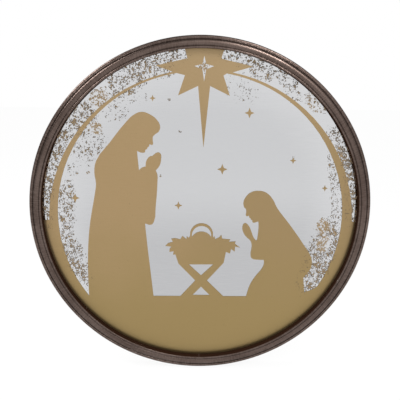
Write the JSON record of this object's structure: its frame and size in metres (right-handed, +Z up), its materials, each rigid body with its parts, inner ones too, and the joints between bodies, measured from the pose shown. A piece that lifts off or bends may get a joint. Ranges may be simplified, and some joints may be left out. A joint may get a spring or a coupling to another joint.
{
  "type": "nativity scene mirror",
  "caption": "Round framed wall mirror with a gold printed nativity scene on speckled glass, in a dark bronze rolled steel frame that hangs by rings on its backing board.",
  "frame": {"origin": "centre of the whole mirror's box, on the frame's axis", "axes": "+Z up, the mirror's front faces -Y, +X to the right seen from the front"},
  "size_m": [0.508, 0.0304, 0.508],
  "materials": {
    "frame_bronze": "satin dark bronze on steel",
    "mirror_glass": "silvered float glass with antique speckles",
    "gold_print": "satin metallic gold print",
    "adhesive_foam": "white foam tape",
    "fibreboard": "raw medium density fibreboard",
    "zinc_plate": "zinc plated steel",
    "bumper_rubber": "black rubber"
  },
  "bodies": {
    "mirror": {"frame_ring": "frame_bronze", "mirror_glass": "mirror_glass", "gold_print": "gold_print", "star_print_1": "gold_print", "star_print_2": "gold_print", "star_print_3": "gold_print", "star_print_4": "gold_print", "star_print_5": "gold_print", "star_print_6": "gold_print", "star_print_7": "gold_print", "glass_pad_1": "adhesive_foam", "glass_pad_2": "adhesive_foam", "glass_pad_3": "adhesive_foam", "glass_pad_4": "adhesive_foam", "backing_board": "fibreboard", "retaining_clip_1": "zinc_plate", "retaining_clip_2": "zinc_plate", "retaining_clip_3": "zinc_plate", "retaining_clip_4": "zinc_plate", "retaining_clip_5": "zinc_plate", "retaining_clip_6": "zinc_plate", "clip_screw_1": "zinc_plate", "clip_screw_2": "zinc_plate", "clip_screw_3": "zinc_plate", "clip_screw_4": "zinc_plate", "clip_screw_5": "zinc_plate", "clip_screw_6": "zinc_plate", "hanger_strap_left": "zinc_plate", "hanger_strap_right": "zinc_plate", "hanger_screw_left": "zinc_plate", "hanger_screw_right": "zinc_plate", "wall_bumper_1": "bumper_rubber", "wall_bumper_2": "bumper_rubber", "wall_bumper_3": "bumper_rubber", "wall_bumper_4": "bumper_rubber"},
    "ring_left": {"hanger_ring_left": "zinc_plate"},
    "ring_right": {"hanger_ring_right": "zinc_plate"}
  },
  "joints": [
    {"name": "ring_left_swing", "type": "hinge", "parent": "mirror", "child": "ring_left", "pos_m": [-0.13, 0.0098, 0.09], "axis": [1, 0, 0], "range_deg": [0, 180]},
    {"name": "ring_right_swing", "type": "hinge", "parent": "mirror", "child": "ring_right", "pos_m": [0.13, 0.0098, 0.09], "axis": [1, 0, 0], "range_deg": [0, 180]}
  ]
}
